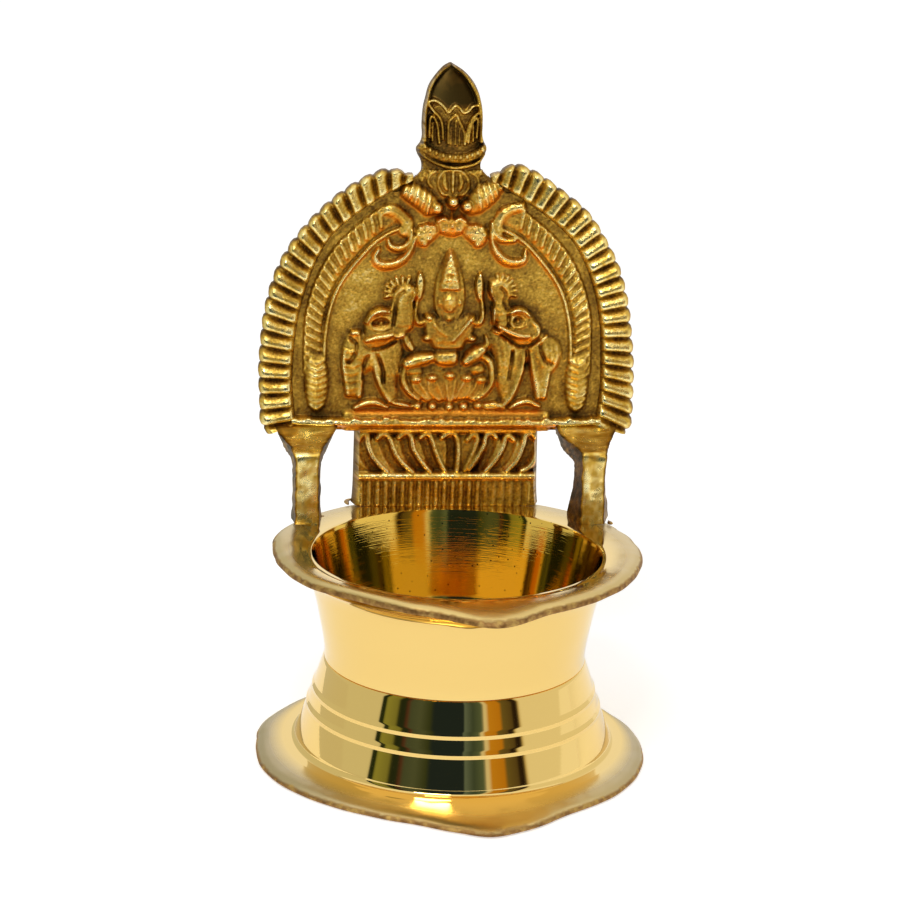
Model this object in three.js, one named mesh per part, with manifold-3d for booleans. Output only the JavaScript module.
// A small cast brass oil lamp: a turned cup and foot with leaf-shaped flanges, and a cast back plate
// with a ribbed arch, a seated figure between two elephants, a petalled pedestal and two legs.
// Units are millimetres, +Z is up and the front of the lamp looks along -Y.

import * as THREE from 'three';
import { mergeVertices } from 'three/addons/utils/BufferGeometryUtils.js';
import Module from 'manifold-3d';

const wasm = await Module();
wasm.setup();

// Driving dimensions of the turned body
const BOWL_RADIUS = 20.8; // inside, at the bottom of the wall
const BOWL_DEPTH = 16.5;
const BOWL_FLOOR = 1.5;
const BOWL_CORNER = 2; // fillet between wall and floor
const BOWL_FLARE = [[0.2, 1], [1.6, 0.72], [3.6, 0.44], [6.2, 0.22], [9.5, 0.08]]; // depth, share of the flare
const MOUTH_FLARE = 3.7; // how much wider the bowl is at the rim
const MOUTH_RADIUS = BOWL_RADIUS + MOUTH_FLARE;
const RIM_TOP = 34; // height of the rim's top face above the ground
const RIM_THICK = 1.6;
const RIM_WIDTH = 7.1;
const RIM_RADIUS = MOUTH_RADIUS + RIM_WIDTH; // of the round part of the leaf
const RIM_CENTRE_X = 0.8;
const RIM_CENTRE_Y = 2.8;
const RIM_TIP_REACH = 6.1; // how far the leaf's tip stands out of its round
const RIM_TIP_SPREAD = 27; // degrees from the tip to where the round starts
const TIP_BLUNT = 0.12; // how softly the tips are rounded, as a share of their spread
const TIP_CURVE = 1.6; // 1 would give the tips straight sides
const LEAF_TURN = 4; // degrees that both tips are turned from the plate's middle
const BOWL_WALL = 1.05;
const WAIST_RADIUS = BOWL_RADIUS + BOWL_WALL; // outside, just above the joint of cup and foot
const WAIST_FLARE = [[4, 0.1], [9.2, 0.45], [12.8, 1], [15.2, 2]]; // height over the joint, added radius
const SPIGOT_RADIUS = WAIST_RADIUS - 1.65;
const SPIGOT_LENGTH = 3.2;
const SPIGOT_WALL = 2;
const FIT_GAP = 0.3; // round the spigot, filled by solder on the real lamp

const JOINT_HEIGHT = 15.8; // the cup rests on the foot here
const FOOT_TOP_RADIUS = WAIST_RADIUS + 0.95;
const FOOT_TAPER = 4.7; // how much wider the cone is at the flange than at the joint
const FOOT_CONE_RADIUS = FOOT_TOP_RADIUS + FOOT_TAPER;
const FOOT_CONE_BOW = 0.06; // how far the cone's side bows out, as a share of its taper
const FOOT_SHOULDER = 2.4; // height of the straight taper just under the joint
const FOOT_STEP = 2; // height over which the inner wall steps in to the spigot's bore
const FOOT_WALL = 1.7;
const FOOT_FLANGE_THICK = 1.5;
const FOOT_FLANGE_WIDTH = 5.1;
const FOOT_FLANGE_RADIUS = FOOT_CONE_RADIUS + FOOT_FLANGE_WIDTH;
const FOOT_CENTRE_X = -0.6;
const FOOT_CENTRE_Y = -3.5;
const FOOT_TIP_REACH = 4.6;
const FOOT_TIP_SPREAD = 22;
const BEAD_HEIGHTS = [7.9, 10.8]; // the two fine beads turned on the cone
const BEAD_HALF = 0.45;
const BEAD_PROUD = 0.25;

// Driving dimensions of the back plate, in its own drawing: x across, y up from the rim, z out from its back
const PLATE_X = 0.24;
const PLATE_SETBACK = 5.3; // from the bowl's mouth to the plate's flat back
const PLATE_BACK_Y = MOUTH_RADIUS + PLATE_SETBACK;
const FIELD_THICK = 1.9;
const BORDER_THICK = 2.6;
const RELIEF_ROOT = 0.6; // raised forms start inside the sheet, at least this far from its back
const ARCH_OVERHANG = 1.7; // past the round of the rim, over the ribs
const ARCH_HALF_WIDTH = RIM_RADIUS + ARCH_OVERHANG;
const ARCH_SPRING = 22; // height of the widest place
const ARCH_RISE = 40.8;
const ARCH_POWER = 2.2; // 2 is an ellipse, more is squarer
const ARCH_FOOT = 13; // lower edge
const ARCH_CORNER = 3.4;
const BORDER_WIDTH = 5.7;
const RIB_COUNT = 20; // on each side
const RIB_START = ARCH_FOOT + 4.2; // height of the lowest rib
const RIB_END_X = 9.8; // half distance between the two topmost ribs
const RIB_HALF_WIDTH = 1.25;
const RIB_PROUD = 1.5;
const SILL_RISE = 0.9; // how far the slab stands inside the rib tips
const BAND_INSET = 9.7; // from the arch's outline to the middle of the inner ribbed band
const BAND_HALF_WIDTH = ARCH_HALF_WIDTH - BAND_INSET;
const BAND_RISE = ARCH_RISE - BAND_INSET + 1.6;
const BAND_HALF = 1.9;
const BAND_PROUD = 0.5;
const BAND_RIBS = 19;
const BAND_START = 27.5;
const BAND_END_X = 10.6;
const PENDANT_DROP = 5.2; // half length of the drops that end the band
const PEDESTAL_HALF_WIDTH = 15.5;
const PEDESTAL_DRAFT = 1.3; // how much wider each side is at the back
const PEDESTAL_DEPTH = 3.9;
const PEDESTAL_PETALS = 9;
const LOWER_LEDGE = 3.9;
const MAIN_LEDGE = 15.3;
const LEDGE_OVERHANG = 3.5;
const MAIN_LEDGE_HALF_WIDTH = PEDESTAL_HALF_WIDTH + LEDGE_OVERHANG;
const LEDGE_DEPTH = 4.7;
const FLUTE_COUNT = 12;

const LEG_INSET = 8.3; // from the arch's outline to the middle of each leg
const LEG_X = ARCH_HALF_WIDTH - LEG_INSET;
const LEG_FRONT_Z = 15.3; // its front face, out from the plate's back
const LEG_DEPTH = 5.2;
const LEG_WIDTH = 4.3;
const LEG_DRAFT = 1.1;
const LEG_TOP = 12.7;
const ARM_THICK = 3.2;
const ARM_RISE = 2.2;
const ARM_ROOT_HALF_WIDTH = 5.6;

const NECK_HALF_WIDTH = 5;
const NOTCH_DEPTH = 3.1; // of the dip in the border on each side of the neck
const NOTCH_HEIGHT = ARCH_SPRING + ARCH_RISE - NOTCH_DEPTH;
const NOTCH_RADIUS = 3.2;
const NOTCH_CLEAR = 0.17; // from the dip's side to the neck
const NECK_HEIGHT = 4.6; // from the dips to the middle of the collar
const NECK_ROOT = 2; // how far the neck runs down into the arch
const COLLAR_HEIGHT = NOTCH_HEIGHT + NECK_HEIGHT;
const COLLAR_HALF_WIDTH = 5.75;
const COLLAR_HALF_HEIGHT = 1.1;
const BUD_BASE = COLLAR_HEIGHT + COLLAR_HALF_HEIGHT;
const BUD_RISE = 3.2; // from the bud's base to its widest place
const BUD_WIDEST = BUD_BASE + BUD_RISE;
const BUD_HEIGHT = 13.3;
const BUD_TIP = BUD_BASE + BUD_HEIGHT;
const BUD_HALF_WIDTH = 5.1;
const BUD_THICK = 3.6;

const SOLDER_BEAD = 1; // width of the brazed beads
const SOLDER_SPILL = 2.1; // width of the spill at the pedestal's left end

const TURNED_SIDES = 64;
const WELD = 0.004; // edges of joined forms shorter than this are closed up

const POLISHED = { color: 0xe9c46a, roughness: 0.12, metalness: 1 };
const CAST = { color: 0xc79a3c, roughness: 0.38, metalness: 1 };
const SOLDER = { color: 0xb58a4a, roughness: 0.5, metalness: 1 };

// Solids from three.js geometry, and back
function solid(geometry) {
  const bare = geometry.index ? geometry.clone() : geometry;
  bare.deleteAttribute('normal');
  bare.deleteAttribute('uv');
  const merged = mergeVertices(bare, 1e-4);
  return new wasm.Manifold(new wasm.Mesh({
    numProp: 3,
    vertProperties: new Float32Array(merged.attributes.position.array),
    triVerts: new Uint32Array(merged.index.array),
    tolerance: WELD,
  }));
}

function joined(solids) {
  let layer = solids;
  while (layer.length > 1) {
    const next = [];
    for (let i = 0; i < layer.length; i += 2) {
      next.push(i + 1 < layer.length ? layer[i].add(layer[i + 1]) : layer[i]);
    }
    layer = next;
  }
  return layer[0];
}

function named(name, body, finish) {
  const raw = body.getMesh();
  const geometry = new THREE.BufferGeometry();
  geometry.setAttribute('position', new THREE.BufferAttribute(new Float32Array(raw.vertProperties), 3));
  geometry.setIndex(new THREE.BufferAttribute(new Uint32Array(raw.triVerts), 1));
  geometry.computeVertexNormals();
  const mesh = new THREE.Mesh(geometry, new THREE.MeshStandardMaterial(finish));
  mesh.name = name;
  return mesh;
}

// A closed skin over rings of points, with a fan over each end
function loft(rings) {
  const sides = rings[0].length;
  const points = rings.flat();
  const faces = [];
  for (let r = 0; r + 1 < rings.length; r += 1) {
    for (let i = 0; i < sides; i += 1) {
      const a = r * sides + i;
      const b = r * sides + (i + 1) % sides;
      faces.push(a, b, b + sides, a, b + sides, a + sides);
    }
  }
  const middle = (ring) => ring.reduce((sum, p) => sum.add(p), new THREE.Vector3()).divideScalar(sides);
  points.push(middle(rings[0]), middle(rings.at(-1)));
  const last = (rings.length - 1) * sides;
  for (let i = 0; i < sides; i += 1) {
    const j = (i + 1) % sides;
    faces.push(points.length - 2, j, i, points.length - 1, last + i, last + j);
  }
  const volume = faces.reduce((sum, _, k) => {
    if (k % 3) return sum;
    const [a, b, c] = [points[faces[k]], points[faces[k + 1]], points[faces[k + 2]]];
    return sum + a.dot(b.clone().cross(c));
  }, 0);
  if (volume < 0) faces.reverse();
  const geometry = new THREE.BufferGeometry().setFromPoints(points);
  geometry.setIndex(faces);
  return solid(geometry);
}

const vec = (x, y, z) => new THREE.Vector3(x, y, z);

// Turned forms and the leaf-shaped flanges
function turned(profile) {
  const points = profile.map(([r, z]) => new THREE.Vector2(r, z));
  const geometry = new THREE.LatheGeometry(points, TURNED_SIDES);
  geometry.rotateX(Math.PI / 2);
  return solid(geometry);
}

function leaf({ centreX, centreY, radius, tipReach, tipSpread, bottom, thick }) {
  const shape = new THREE.Shape();
  const round = TURNED_SIDES;
  const curve = 24; // points on the two sides of the tip
  const spread = tipSpread * Math.PI / 180;
  for (let i = 0; i < round + curve; i += 1) {
    const onTip = i <= curve;
    const share = i / curve * 2 - 1; // 0 at the tip, 1 where the round starts
    const angle = onTip ? share * spread : spread + (i - curve) / round * 2 * (Math.PI - spread);
    const blunt = Math.hypot(share, TIP_BLUNT) - TIP_BLUNT;
    const reach = onTip ? tipReach * (1 - Math.min(blunt / (Math.hypot(1, TIP_BLUNT) - TIP_BLUNT), 1)) ** TIP_CURVE : 0;
    const direction = angle - Math.PI / 2 + LEAF_TURN * Math.PI / 180;
    const x = centreX + (radius + reach) * Math.cos(direction);
    const y = centreY + (radius + reach) * Math.sin(direction);
    if (i === 0) shape.moveTo(x, y);
    else shape.lineTo(x, y);
  }
  shape.closePath();
  const geometry = new THREE.ExtrudeGeometry(shape, { depth: thick, bevelEnabled: false });
  geometry.translate(0, 0, bottom);
  return solid(geometry);
}

// Oil cup: leaf rim, flared bowl wall, floor and spigot
function oilCup() {
  const flare = MOUTH_RADIUS - BOWL_RADIUS;
  const floor = RIM_TOP - BOWL_DEPTH;
  const inside = [
    [0, RIM_TOP + 1],
    [MOUTH_RADIUS, RIM_TOP + 1],
    ...BOWL_FLARE.map(([depth, share]) => [BOWL_RADIUS + flare * share, RIM_TOP - depth]),
    [BOWL_RADIUS, floor + BOWL_CORNER],
    [BOWL_RADIUS - BOWL_CORNER * 0.3, floor + BOWL_CORNER * 0.3],
    [BOWL_RADIUS - BOWL_CORNER, floor],
    [0, floor],
  ];
  const outside = [
    [0, floor - BOWL_FLOOR],
    [SPIGOT_RADIUS - SPIGOT_WALL, floor - BOWL_FLOOR],
    [SPIGOT_RADIUS - SPIGOT_WALL, JOINT_HEIGHT - SPIGOT_LENGTH],
    [SPIGOT_RADIUS, JOINT_HEIGHT - SPIGOT_LENGTH],
    [SPIGOT_RADIUS, JOINT_HEIGHT],
    [WAIST_RADIUS, JOINT_HEIGHT],
    ...WAIST_FLARE.map(([height, added]) => [WAIST_RADIUS + added, JOINT_HEIGHT + height]),
    [MOUTH_RADIUS + 1, RIM_TOP - RIM_THICK],
    [MOUTH_RADIUS + 1, RIM_TOP],
    [0, RIM_TOP],
  ];
  const rim = leaf({
    centreX: RIM_CENTRE_X,
    centreY: RIM_CENTRE_Y,
    radius: RIM_RADIUS,
    tipReach: RIM_TIP_REACH,
    tipSpread: RIM_TIP_SPREAD,
    bottom: RIM_TOP - RIM_THICK,
    thick: RIM_THICK,
  });
  return turned(outside).add(rim).subtract(turned(inside.reverse()));
}

// Foot: hollow cone with two fine beads, on a leaf-shaped flange
function coneRadius(height) {
  const t = (height - FOOT_FLANGE_THICK) / (JOINT_HEIGHT - FOOT_FLANGE_THICK);
  const bow = FOOT_CONE_BOW * Math.sin(Math.PI * t);
  return FOOT_CONE_RADIUS + (FOOT_TOP_RADIUS - FOOT_CONE_RADIUS) * (t - bow);
}

function foot() {
  const bore = SPIGOT_RADIUS + FIT_GAP;
  const outside = [[0, 0], [FOOT_CONE_RADIUS, 0], [FOOT_CONE_RADIUS, FOOT_FLANGE_THICK]];
  for (const height of BEAD_HEIGHTS) {
    outside.push([coneRadius(height - BEAD_HALF), height - BEAD_HALF]);
    outside.push([coneRadius(height) + BEAD_PROUD, height]);
    outside.push([coneRadius(height + BEAD_HALF), height + BEAD_HALF]);
  }
  outside.push([coneRadius(JOINT_HEIGHT - FOOT_SHOULDER), JOINT_HEIGHT - FOOT_SHOULDER]);
  outside.push([FOOT_TOP_RADIUS, JOINT_HEIGHT]);
  outside.push([0, JOINT_HEIGHT]);
  const seat = JOINT_HEIGHT - SPIGOT_LENGTH - SOLDER_BEAD * 2;
  const inside = [
    [0, -1],
    [FOOT_CONE_RADIUS - FOOT_WALL, -1],
    [FOOT_CONE_RADIUS - FOOT_WALL, 0],
    [coneRadius(seat - FOOT_STEP) - FOOT_WALL, seat - FOOT_STEP],
    [bore, seat],
    [bore, JOINT_HEIGHT + 1],
    [0, JOINT_HEIGHT + 1],
  ];
  const flange = leaf({
    centreX: FOOT_CENTRE_X,
    centreY: FOOT_CENTRE_Y,
    radius: FOOT_FLANGE_RADIUS,
    tipReach: FOOT_TIP_REACH,
    tipSpread: FOOT_TIP_SPREAD,
    bottom: 0,
    thick: FOOT_FLANGE_THICK,
  });
  return turned(outside).add(flange).subtract(turned(inside));
}

// The ring of solder under the spigot, inside the foot
function waistSolder() {
  const top = JOINT_HEIGHT - SPIGOT_LENGTH;
  const outer = SPIGOT_RADIUS;
  const profile = [
    [outer - SOLDER_BEAD, top],
    [outer - SOLDER_BEAD * 0.7, top - SOLDER_BEAD * 0.7],
    [outer, top - SOLDER_BEAD],
    [outer, top],
    [outer - SOLDER_BEAD, top],
  ];
  return turned(profile);
}

// The arch's outline and the bands that follow it
function archPoint(halfWidth, rise, angle) {
  const x = halfWidth * Math.sign(Math.cos(angle)) * Math.abs(Math.cos(angle)) ** (2 / ARCH_POWER);
  const y = ARCH_SPRING + rise * Math.abs(Math.sin(angle)) ** (2 / ARCH_POWER);
  return new THREE.Vector2(x, y);
}

// Points at even spacing up the right side, from a low height to a stop near the middle
function archWalk(halfWidth, rise, startHeight, endX, count) {
  const fine = [];
  if (startHeight < ARCH_SPRING) fine.push(new THREE.Vector2(halfWidth, startHeight));
  for (let i = 0; i <= 400; i += 1) {
    const point = archPoint(halfWidth, rise, i / 400 * Math.PI / 2);
    if (point.y >= startHeight && point.x >= endX) fine.push(point);
  }
  const length = [0];
  for (let i = 1; i < fine.length; i += 1) length.push(length[i - 1] + fine[i].distanceTo(fine[i - 1]));
  const walk = [];
  for (let k = 0; k < count; k += 1) {
    const goal = length.at(-1) * k / (count - 1);
    let i = 1;
    while (i < fine.length - 1 && length[i] < goal) i += 1;
    const share = (goal - length[i - 1]) / (length[i] - length[i - 1]);
    const point = fine[i - 1].clone().lerp(fine[i], share);
    const along = fine[i].clone().sub(fine[i - 1]).normalize();
    walk.push({ point, along });
  }
  return walk;
}

function slab(outline, bottom, thick) {
  const shape = new THREE.Shape(outline);
  const geometry = new THREE.ExtrudeGeometry(shape, { depth: thick, bevelEnabled: false });
  geometry.translate(0, 0, bottom);
  return solid(geometry);
}

// A rounded mound, longer along one line of the drawing
function mound(x, y, z, along, across, proud, turn = 0, sides = 8) {
  const geometry = new THREE.SphereGeometry(1, sides, 4);
  geometry.rotateX(Math.PI / 2);
  geometry.scale(along, across, proud);
  geometry.rotateZ(turn);
  geometry.translate(x, y, z);
  const position = geometry.attributes.position;
  for (let i = 0; i < position.count; i += 1) position.setZ(i, Math.max(position.getZ(i), RELIEF_ROOT));
  return solid(geometry);
}

// A raised line through points of the drawing: each is x, y and half width
function ridge(points, z, proud, sides = 6) {
  const rings = points.map(([x, y, half], i) => {
    const before = points[Math.max(i - 1, 0)];
    const after = points[Math.min(i + 1, points.length - 1)];
    const along = new THREE.Vector2(after[0] - before[0], after[1] - before[1]).normalize();
    const ring = [];
    for (let k = 0; k < sides; k += 1) {
      const turn = k / sides * 2 * Math.PI;
      const off = half * Math.cos(turn);
      const height = Math.max(z + proud * Math.sin(turn), RELIEF_ROOT);
      ring.push(vec(x - along.y * off, y + along.x * off, height));
    }
    return ring;
  });
  return loft(rings);
}

function bothSides(make) {
  return [make(1), make(-1)];
}

// Arch slab and border
function archForms() {
  const edge = [];
  const halfWidth = ARCH_HALF_WIDTH - SILL_RISE;
  const rise = ARCH_RISE - SILL_RISE;
  const steps = 40;
  for (let i = 0; i <= steps; i += 1) edge.push(archPoint(halfWidth, rise, i / steps * Math.PI));
  for (const side of [-1, 1]) {
    const corner = [];
    for (let i = 0; i <= 4; i += 1) {
      const turn = i / 4 * Math.PI / 2;
      const x = halfWidth - ARCH_CORNER + ARCH_CORNER * Math.cos(turn);
      const y = ARCH_FOOT + ARCH_CORNER - ARCH_CORNER * Math.sin(turn);
      corner.push(new THREE.Vector2(side * x, y));
    }
    edge.push(...(side < 0 ? corner : corner.reverse()));
  }
  const inner = [];
  const innerHalf = ARCH_HALF_WIDTH - BORDER_WIDTH;
  for (let i = 0; i <= steps; i += 1) {
    inner.push(archPoint(innerHalf, ARCH_RISE - BORDER_WIDTH, i / steps * Math.PI));
  }
  inner.push(new THREE.Vector2(-innerHalf, ARCH_FOOT + ARCH_CORNER));
  inner.push(new THREE.Vector2(innerHalf, ARCH_FOOT + ARCH_CORNER));
  const window = slab(inner, FIELD_THICK, BORDER_THICK);
  const notch = new THREE.CylinderGeometry(NOTCH_RADIUS, NOTCH_RADIUS, BORDER_THICK * 4, 16);
  notch.rotateX(Math.PI / 2);
  let sheet = slab(edge, 0, BORDER_THICK).subtract(window);
  for (const side of [1, -1]) {
    const x = side * (NECK_HALF_WIDTH + NOTCH_RADIUS + NOTCH_CLEAR);
    const cut = notch.clone().translate(x, NOTCH_HEIGHT + NOTCH_RADIUS, 0);
    sheet = sheet.subtract(solid(cut));
  }
  const forms = [sheet];
  const ribHalf = ARCH_HALF_WIDTH - BORDER_WIDTH / 2;
  const ribRise = ARCH_RISE - BORDER_WIDTH / 2;
  for (const { point, along } of archWalk(ribHalf, ribRise, RIB_START, RIB_END_X, RIB_COUNT)) {
    const turn = Math.atan2(-along.x, along.y);
    forms.push(...bothSides((side) => mound(
      side * point.x, point.y, BORDER_THICK - 0.3,
      BORDER_WIDTH / 2 + 0.1, RIB_HALF_WIDTH, RIB_PROUD + 0.3, side > 0 ? turn : Math.PI - turn,
    )));
  }
  return forms;
}

// The ribbed band inside the border, the drops that end it and the scrolls at its upper ends
function bandForms() {
  const forms = [];
  const walk = archWalk(BAND_HALF_WIDTH, BAND_RISE, BAND_START, BAND_END_X, BAND_RIBS);
  for (const side of [1, -1]) {
    const line = walk.filter((_, i) => i % 3 === 0).map(({ point }) => [side * point.x, point.y, BAND_HALF]);
    forms.push(ridge(line, FIELD_THICK - 0.2, BAND_PROUD + 0.2));
    for (const { point, along } of walk) {
      const turn = Math.atan2(-along.x, along.y) + 0.5;
      forms.push(mound(
        side * point.x, point.y, FIELD_THICK + 0.1,
        BAND_HALF * 0.85, 0.55, BAND_PROUD + 0.5, side > 0 ? turn : Math.PI - turn, 6,
      ));
    }
    const drop = BAND_START - PENDANT_DROP;
    forms.push(mound(side * (BAND_HALF_WIDTH - 0.3), drop, FIELD_THICK, 2.2, PENDANT_DROP, 1.3));
    const feather = [[12.2, 53, 0.9], [9.6, 54, 1.5], [7.4, 52.7, 1.5], [6.7, 50.4, 0.9]];
    const hook = [[12.7, 46.8, 0.7], [11.3, 45, 0.8], [8.8, 44.8, 0.9], [7.2, 46.6, 0.8], [6.5, 49.8, 0.5]];
    const littleHook = [[11, 48, 0.5], [9.4, 47.3, 0.7], [7.8, 48.4, 0.5]];
    for (const line of [feather, hook, littleHook]) {
      const mirrored = line.map(([x, y, half]) => [side * x, y, half]);
      forms.push(ridge(mirrored, FIELD_THICK - 0.2, 1.2));
    }
  }
  return forms;
}

// The ornament over the figure: two horns that meet under a palmette, three beads and a small mask
function crestForms() {
  const forms = [];
  for (const side of [1, -1]) {
    forms.push(ridge([[side * 8, 57.6, 0.9], [side * 5.6, 56.4, 1.6], [side * 2.9, 54.4, 1.3]], FIELD_THICK, 1.7));
    forms.push(ridge([[side * 3.4, 58.6, 0.5], [side * 1.7, 58, 0.8], [side * 0.6, 56.2, 0.4]], FIELD_THICK, 1.2));
    forms.push(mound(side * 2.3, 53.9, FIELD_THICK + 0.4, 1, 1, 1.6));
    forms.push(ridge([[side * 0.8, 50.6, 0.7], [side * 3.2, 49.9, 1.1], [side * 5.3, 48.2, 0.8]], FIELD_THICK, 1.1));
  }
  forms.push(ridge([[0, 55.6, 0.5], [0, 58, 0.9], [0, 60, 0.4]], FIELD_THICK, 1.4));
  forms.push(mound(0, 54.7, FIELD_THICK + 0.4, 0.9, 0.9, 1.5));
  forms.push(mound(0, 50.6, FIELD_THICK, 1.9, 1.5, 1.6));
  return forms;
}

// The seated figure on its lotus, under a tall crown
function figureForms() {
  const z = FIELD_THICK;
  const forms = [
    mound(0, 39.6, z - 0.3, 2.6, 6.9, 1.1, 0, 12), // aureole
    mound(0, 38, z + 0.4, 1.6, 2.3, 1.9, 0, 10), // head
    mound(0, 42.6, z + 0.2, 1.3, 3.6, 1.5, 0, 10), // crown
    mound(0, 32.4, z + 0.2, 2.9, 3.4, 2, 0, 10), // body
    mound(0, 27.8, z + 0.2, 6.4, 1.9, 2.1, 0, 10), // folded legs
    ridge([[-7.6, 25.4, 0.8], [-6, 21.2, 1.6], [0, 19.8, 1.6], [6, 21.2, 1.6], [7.6, 25.4, 0.8]], z - 0.2, 1.5),
    mound(0, 23.6, z, 7.6, 3.4, 1.5, 0, 12), // lotus
  ];
  for (const side of [1, -1]) {
    forms.push(ridge([[side * 2.4, 35, 0.8], [side * 5.4, 33.4, 0.9], [side * 5.6, 37.4, 0.6]], z, 1.4));
    forms.push(mound(side * 5.3, 39.8, z, 0.8, 2, 1.1));
    forms.push(ridge([[side * 2.6, 34.2, 0.8], [side * 4.6, 31.4, 0.8], [side * 4, 28.6, 0.7]], z, 1.7));
    for (const [foot, top] of [[0.9, 1.6], [2.6, 4.3], [4.2, 6.4]]) {
      forms.push(ridge([[side * foot, 20.2, 0.4], [side * top, 23.8, 0.9], [side * top * 1.1, 25.6, 0.3]], z + 0.5, 1.6));
    }
    for (const x of [0.1, 2.8, 5.4]) forms.push(mound(side * x, 18.7, z, 0.9, 0.8, 1.1, 0, 6));
    forms.push(ridge([[side * 8, 18.6, 0.5], [side * 12, 18, 1], [side * 16.6, 18.4, 0.5]], z - 0.2, 1.3));
  }
  return forms;
}

// One elephant: raised trunk, head, ear, body and legs; side is 1 on the right
function elephantForms(side) {
  const z = FIELD_THICK;
  const at = (line) => line.map(([x, y, half]) => [side * x, y, half]);
  const trunk = [[10.6, 33.4, 1.3], [9.7, 36.4, 0.9], [10.4, 39.4, 0.8], [9.4, 41, 0.8], [7.6, 40.4, 0.7]];
  return [
    ridge(at(trunk), z, 1.4),
    mound(side * 12.7, 34.6, z, 3, 2.4, 1.8, side * -0.5),
    mound(side * 14.6, 31.6, z, 1.6, 2.6, 1.5, side * 0.5),
    mound(side * 16.6, 27, z - 0.2, 2.8, 4.6, 1.5),
    ridge(at([[17.8, 25, 1.2], [17.8, 21.6, 1.1], [17.6, 19.2, 1.3]]), z, 1.2),
    ridge(at([[14.9, 26, 1.1], [14.7, 22, 1], [14.6, 19.4, 1.2]]), z, 1.2),
    ridge(at([[12.6, 30.6, 1.1], [11.4, 25.4, 1], [10.4, 21.2, 1], [8.6, 19, 0.9]]), z, 1.3),
  ];
}

// Pedestal with its ledges, S-curved petals and the fluted strip at its foot
function pedestalForms() {
  const ring = (half, bottom, top, z) => [
    vec(-half, bottom, z), vec(half, bottom, z), vec(half, top, z), vec(-half, top, z),
  ];
  const back = PEDESTAL_HALF_WIDTH + PEDESTAL_DRAFT;
  const topEdge = ARCH_FOOT + 1;
  const core = PEDESTAL_DEPTH - 1;
  const forms = [loft([ring(back, 0, topEdge, 0), ring(PEDESTAL_HALF_WIDTH + 0.4, 0, topEdge, core)])];
  const strip = ring(PEDESTAL_HALF_WIDTH + 0.4, 0, LOWER_LEDGE - 0.5, core - 0.1);
  forms.push(loft([strip, ring(PEDESTAL_HALF_WIDTH, 0, LOWER_LEDGE - 0.5, PEDESTAL_DEPTH - 0.4)]));
  const half = PEDESTAL_HALF_WIDTH;
  forms.push(ridge([[-half, LOWER_LEDGE, 0.55], [half, LOWER_LEDGE, 0.55]], core, 1.3, 8));
  const wide = MAIN_LEDGE_HALF_WIDTH;
  forms.push(ridge([[-wide, MAIN_LEDGE, 0.3], [-wide + 2, MAIN_LEDGE, 0.9], [wide - 2, MAIN_LEDGE, 0.9],
    [wide, MAIN_LEDGE, 0.3]], FIELD_THICK, LEDGE_DEPTH - FIELD_THICK, 8));
  const pitch = 2 * half / PEDESTAL_PETALS;
  for (let i = 0; i < PEDESTAL_PETALS; i += 1) {
    const top = (i - (PEDESTAL_PETALS - 1) / 2) * pitch;
    const foot = top * 0.62;
    const low = LOWER_LEDGE + 0.4;
    const high = ARCH_FOOT + 0.6;
    const rise = high - low;
    forms.push(ridge([
      [foot, low, 0.5],
      [foot + (top - foot) * 0.45, low + rise * 0.35, 0.9],
      [foot + (top - foot) * 0.9, low + rise * 0.72, 1.3],
      [top, high - 0.5, 1],
    ], core, 1.1));
  }
  for (let i = 0; i < FLUTE_COUNT; i += 1) {
    const x = -half + (i + 0.5) * 1.45 + 0.6;
    forms.push(ridge([[x, 0.3, 0.4], [x, LOWER_LEDGE - 0.9, 0.4]], PEDESTAL_DEPTH - 0.6, 0.6, 4));
  }
  return forms;
}

// One leg: a square bar that stands forward of the plate, and the arm that carries it back to the arch
function leg(side) {
  const ring = (front, back, frontHalf, backHalf) => [
    vec(side * LEG_X - frontHalf, front[1], front[0]),
    vec(side * LEG_X + frontHalf, front[1], front[0]),
    vec(side * LEG_X + backHalf, back[1], back[0]),
    vec(side * LEG_X - backHalf, back[1], back[0]),
  ];
  const backZ = LEG_FRONT_Z - LEG_DEPTH;
  const half = LEG_WIDTH / 2;
  const under = LEG_TOP - ARM_THICK;
  return loft([
    ring([LEG_FRONT_Z, 0], [backZ, 0], half + 0.1, half + LEG_DRAFT),
    ring([LEG_FRONT_Z, under - 1.4], [backZ, under - 1.4], half - 0.1, half + LEG_DRAFT * 0.8),
    ring([LEG_FRONT_Z - 0.1, LEG_TOP - 0.6], [backZ - 0.4, under], half, half + LEG_DRAFT * 0.8),
    ring([LEG_FRONT_Z - 1, LEG_TOP], [backZ - 1.6, under + 0.5], half, half + LEG_DRAFT),
    ring([backZ - 2, LEG_TOP + ARM_RISE * 0.35], [backZ - 4, under + 1], half + 1, half + LEG_DRAFT + 0.7),
    ring([FIELD_THICK + 2.4, LEG_TOP + ARM_RISE * 0.75], [FIELD_THICK + 1.4, under + 1.8],
      ARM_ROOT_HALF_WIDTH - 1.2, ARM_ROOT_HALF_WIDTH - 1.4),
    ring([FIELD_THICK - 0.6, LEG_TOP + ARM_RISE], [FIELD_THICK - 1, under + 2.4],
      ARM_ROOT_HALF_WIDTH, ARM_ROOT_HALF_WIDTH),
  ]);
}

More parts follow.
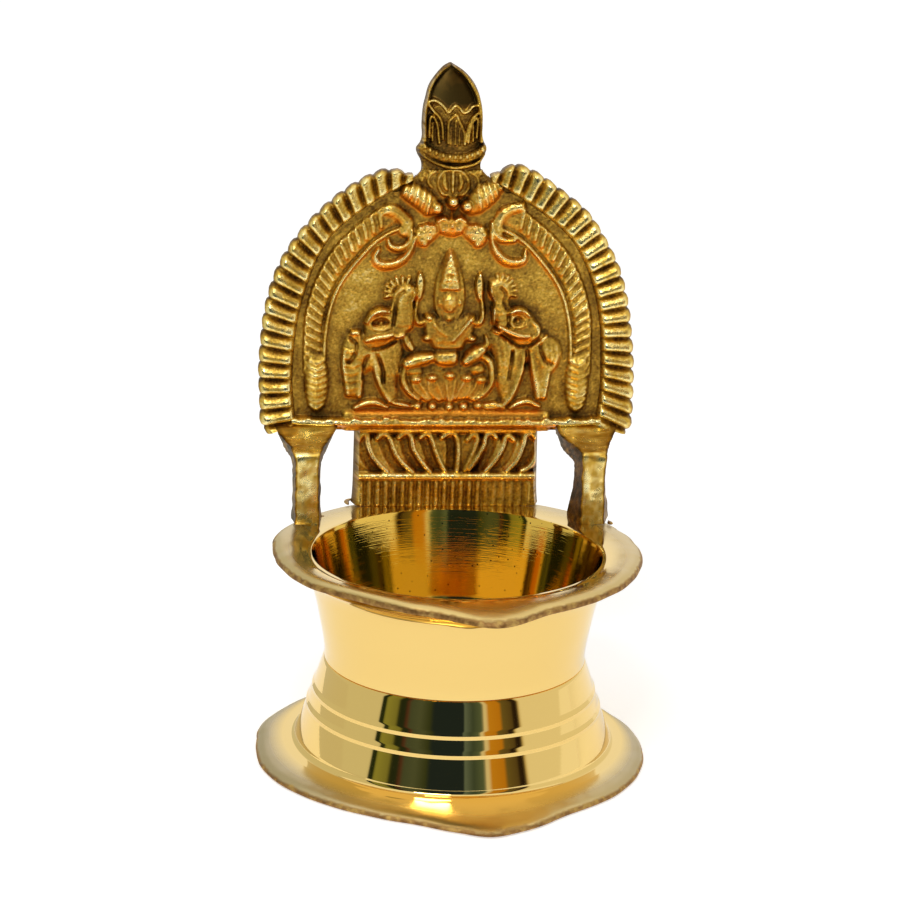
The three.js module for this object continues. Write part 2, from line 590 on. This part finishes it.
// Lotus-bud finial on its beaded collar
function finialForms() {
  const bud = [];
  const steps = 10;
  const halfAt = (y) => {
    if (y < BUD_WIDEST) return BUD_HALF_WIDTH - 0.25 * ((BUD_WIDEST - y) / (BUD_WIDEST - BUD_BASE)) ** 2;
    return BUD_HALF_WIDTH * (1 - ((y - BUD_WIDEST) / (BUD_TIP - BUD_WIDEST)) ** 2.1);
  };
  for (let i = 0; i <= steps; i += 1) {
    const y = BUD_BASE - 1 + (BUD_TIP - BUD_BASE + 1) * i / steps;
    bud.push(new THREE.Vector2(halfAt(Math.max(y, BUD_BASE)), y));
  }
  const left = bud.slice(0, -1).reverse().map((p) => new THREE.Vector2(-p.x, p.y));
  const outline = [...bud, ...left];
  const neck = [
    new THREE.Vector2(-NECK_HALF_WIDTH, NOTCH_HEIGHT - NECK_ROOT),
    new THREE.Vector2(NECK_HALF_WIDTH, NOTCH_HEIGHT - NECK_ROOT),
    new THREE.Vector2(NECK_HALF_WIDTH, BUD_BASE - 0.4),
    new THREE.Vector2(-NECK_HALF_WIDTH, BUD_BASE - 0.4),
  ];
  const forms = [
    slab(neck, 0, BORDER_THICK),
    slab(outline, 0, BUD_THICK - 1),
    mound(0, BUD_WIDEST + 0.4, BUD_THICK - 1.2, BUD_HALF_WIDTH * 0.72, (BUD_TIP - BUD_BASE) * 0.52, 1.3, 0, 12),
    ridge([[-COLLAR_HALF_WIDTH, COLLAR_HEIGHT + 0.4, 0.8],
      [-COLLAR_HALF_WIDTH * 0.45, COLLAR_HEIGHT - 0.7, COLLAR_HALF_HEIGHT],
      [COLLAR_HALF_WIDTH * 0.45, COLLAR_HEIGHT - 0.7, COLLAR_HALF_HEIGHT],
      [COLLAR_HALF_WIDTH, COLLAR_HEIGHT + 0.4, 0.8]], 1.8, 1.8, 8),
  ];
  for (const x of [-2.9, 0, 2.9]) {
    forms.push(ridge([[x * 0.7, BUD_BASE, 0.8], [x, BUD_BASE + 2.4, 1.1], [x * 1.15, BUD_BASE + 5, 0.3]],
      BUD_THICK - 0.7, 0.9));
  }
  return forms;
}

function backPlate() {
  const forms = [
    ...archForms(),
    ...bandForms(),
    ...crestForms(),
    ...figureForms(),
    ...elephantForms(1),
    ...elephantForms(-1),
    ...pedestalForms(),
    ...finialForms(),
    leg(1),
    leg(-1),
  ];
  return joined(forms).rotate([90, 0, 0]).translate([PLATE_X, PLATE_BACK_Y, RIM_TOP]);
}

// A brazed bead lying on the rim, its flat side down: points are x, y and half width
function solderBead(points, tall) {
  const rings = points.map(([x, y, half], i) => {
    const before = points[Math.max(i - 1, 0)];
    const after = points[Math.min(i + 1, points.length - 1)];
    const along = new THREE.Vector2(after[0] - before[0], after[1] - before[1]).normalize();
    const ring = [];
    for (let k = 0; k <= 5; k += 1) {
      const turn = k / 5 * Math.PI;
      const off = half * Math.cos(turn);
      const up = tall * (half / SOLDER_BEAD) * Math.sin(turn);
      ring.push(vec(x - along.y * off, y + along.x * off, RIM_TOP + up));
    }
    return ring;
  });
  return loft(rings);
}

// Along the back of the pedestal and round its left end, where it spills
function pedestalSolder() {
  const half = SOLDER_BEAD / 2;
  const spill = SOLDER_SPILL / 2;
  const y = PLATE_BACK_Y + FIT_GAP + half;
  const end = PEDESTAL_HALF_WIDTH + PEDESTAL_DRAFT;
  const left = PLATE_X - end - FIT_GAP - half;
  return solderBead([
    [left + 0.2, PLATE_BACK_Y - PEDESTAL_DEPTH + 1, half * 0.6],
    [left, PLATE_BACK_Y - PEDESTAL_DEPTH / 2, half],
    [left, PLATE_BACK_Y - 0.4, half],
    [left + half, y, spill * 0.6],
    [PLATE_X - end * 0.8, y, half],
    [PLATE_X, y, half * 1.1],
    [PLATE_X + end * 0.85, y, half],
    [PLATE_X + end, y, half * 0.5],
  ], SOLDER_BEAD);
}

// Behind the inner half of the left leg, and along the outer side of the right one
function leftLegSolder() {
  const half = SOLDER_BEAD / 2;
  const y = PLATE_BACK_Y - LEG_FRONT_Z + LEG_DEPTH + FIT_GAP + half;
  const x = PLATE_X - LEG_X;
  const reach = LEG_WIDTH / 2 + LEG_DRAFT;
  return solderBead([
    [x - 0.4, y, half * 0.6],
    [x + reach * 0.4, y, half],
    [x + reach, y, half * 0.7],
  ], SOLDER_BEAD);
}

function rightLegSolder() {
  const half = SOLDER_BEAD / 2;
  const front = PLATE_BACK_Y - LEG_FRONT_Z;
  const x = PLATE_X + LEG_X + LEG_WIDTH / 2 + 0.1 + FIT_GAP + half;
  return solderBead([
    [x, front + 0.2, half * 0.8],
    [x + LEG_DRAFT * 0.25, front + LEG_DEPTH * 0.25, half],
    [x + LEG_DRAFT * 0.55, front + LEG_DEPTH * 0.55, half * 0.5],
  ], SOLDER_BEAD);
}

const lamp = new THREE.Group();
lamp.add(named('foot', foot(), POLISHED));
lamp.add(named('oil_cup', oilCup(), POLISHED));
lamp.add(named('waist_solder', waistSolder(), SOLDER));
lamp.add(named('back_plate', backPlate(), CAST));
lamp.add(named('pedestal_solder', pedestalSolder(), SOLDER));
lamp.add(named('left_leg_solder', leftLegSolder(), SOLDER));
lamp.add(named('right_leg_solder', rightLegSolder(), SOLDER));

// The origin is on the ground under the middle of the whole lamp
const box = new THREE.Box3().setFromObject(lamp);
lamp.position.set(-(box.min.x + box.max.x) / 2, -(box.min.y + box.max.y) / 2, -box.min.z);
lamp.updateMatrixWorld(true);

export default lamp;
